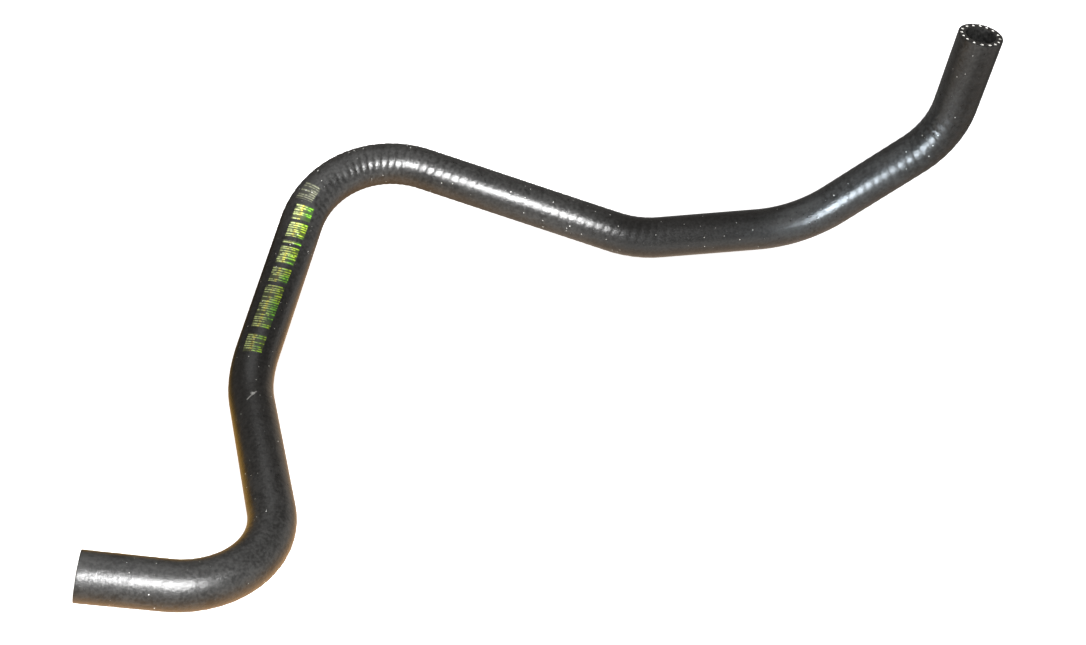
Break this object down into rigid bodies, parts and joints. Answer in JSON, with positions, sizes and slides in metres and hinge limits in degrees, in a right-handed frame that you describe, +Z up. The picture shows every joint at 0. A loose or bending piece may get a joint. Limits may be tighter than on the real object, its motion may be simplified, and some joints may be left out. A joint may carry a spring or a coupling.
{
  "type": "moulded coolant hose",
  "caption": "Moulded rubber hose that carries engine coolant between two pipe stubs: a fixed bent route, square-cut ends, and knitted yarn in its wall.",
  "frame": {"origin": "centre of the hose's plan outline, on the surface that the hose lies on", "axes": "+X along the long run of the hose towards the end that stands up, +Y away from the low cut end, +Z up"},
  "size_m": [0.4746, 0.2964, 0.1341],
  "materials": {
    "rubber": "satin, finely mottled",
    "yarn": "cut yarn, matt"
  },
  "bodies": {
    "root": {"hose_wall": "rubber", "yarn_end_a_1": "yarn", "yarn_end_a_2": "yarn", "yarn_end_a_3": "yarn", "yarn_end_a_4": "yarn", "yarn_end_a_5": "yarn", "yarn_end_a_6": "yarn", "yarn_end_a_7": "yarn", "yarn_end_a_8": "yarn", "yarn_end_a_9": "yarn", "yarn_end_a_10": "yarn", "yarn_end_a_11": "yarn", "yarn_end_a_12": "yarn", "yarn_end_a_13": "yarn", "yarn_end_a_14": "yarn", "yarn_end_a_15": "yarn", "yarn_end_a_16": "yarn", "yarn_end_f_1": "yarn", "yarn_end_f_2": "yarn", "yarn_end_f_3": "yarn", "yarn_end_f_4": "yarn", "yarn_end_f_5": "yarn", "yarn_end_f_6": "yarn", "yarn_end_f_7": "yarn", "yarn_end_f_8": "yarn", "yarn_end_f_9": "yarn", "yarn_end_f_10": "yarn", "yarn_end_f_11": "yarn", "yarn_end_f_12": "yarn", "yarn_end_f_13": "yarn", "yarn_end_f_14": "yarn", "yarn_end_f_15": "yarn", "yarn_end_f_16": "yarn"}
  },
  "joints": []
}
